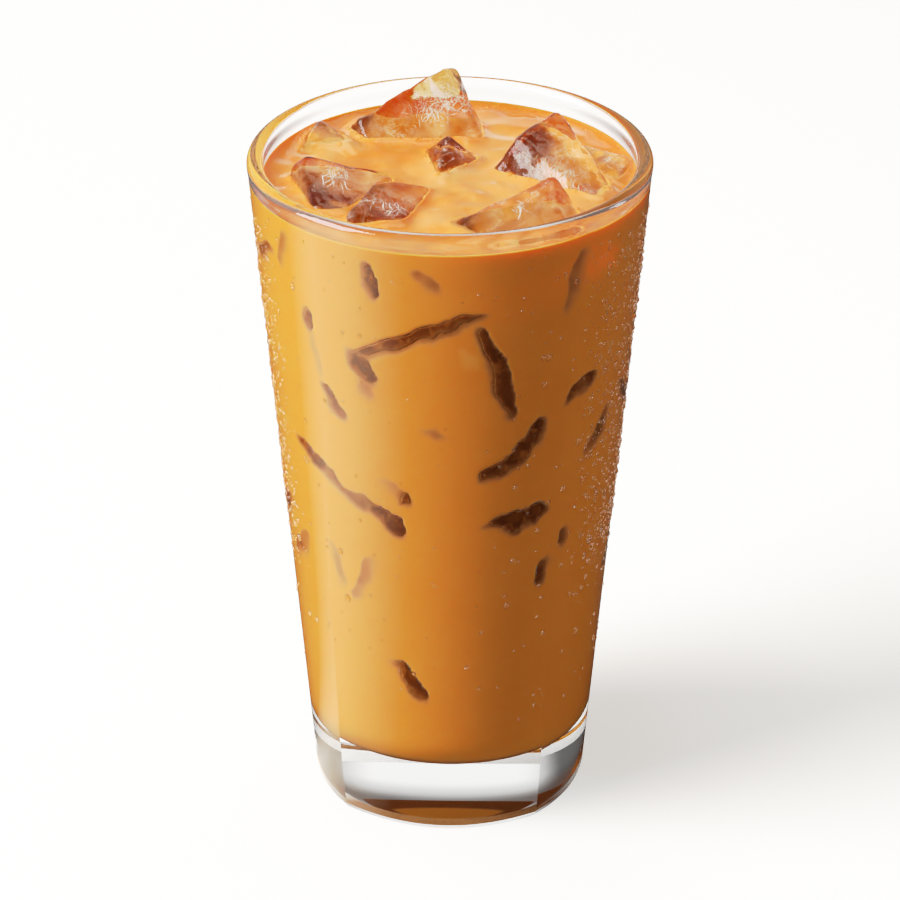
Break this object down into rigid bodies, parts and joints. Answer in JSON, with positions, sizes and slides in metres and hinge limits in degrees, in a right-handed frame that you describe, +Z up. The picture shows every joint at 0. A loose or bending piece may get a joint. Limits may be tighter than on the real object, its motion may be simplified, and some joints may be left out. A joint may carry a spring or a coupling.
{
  "type": "iced coffee in a glass",
  "caption": "Milky iced coffee filling a tall tapered clear tumbler with a thick base, ice cubes breaking the surface and more ice sunk in the drink, for a table or menu scene",
  "frame": {"origin": "centre of the glass's resting ring on the table", "axes": "+Z up along the glass's axis, -Y towards the viewer, +X to the viewer's right"},
  "size_m": [0.0864, 0.0864, 0.1592],
  "materials": {
    "glass": "clear smooth soda-lime glass, fire-polished lip, fine condensation outside",
    "coffee": null,
    "ice": null
  },
  "bodies": {
    "root": {"glass": "glass", "coffee": "coffee", "ice_back": "ice", "ice_right": "ice", "ice_front_right": "ice", "ice_left": "ice", "ice_front_left": "ice", "ice_centre": "ice", "ice_edge": "ice", "ice_low": "ice"}
  },
  "joints": []
}
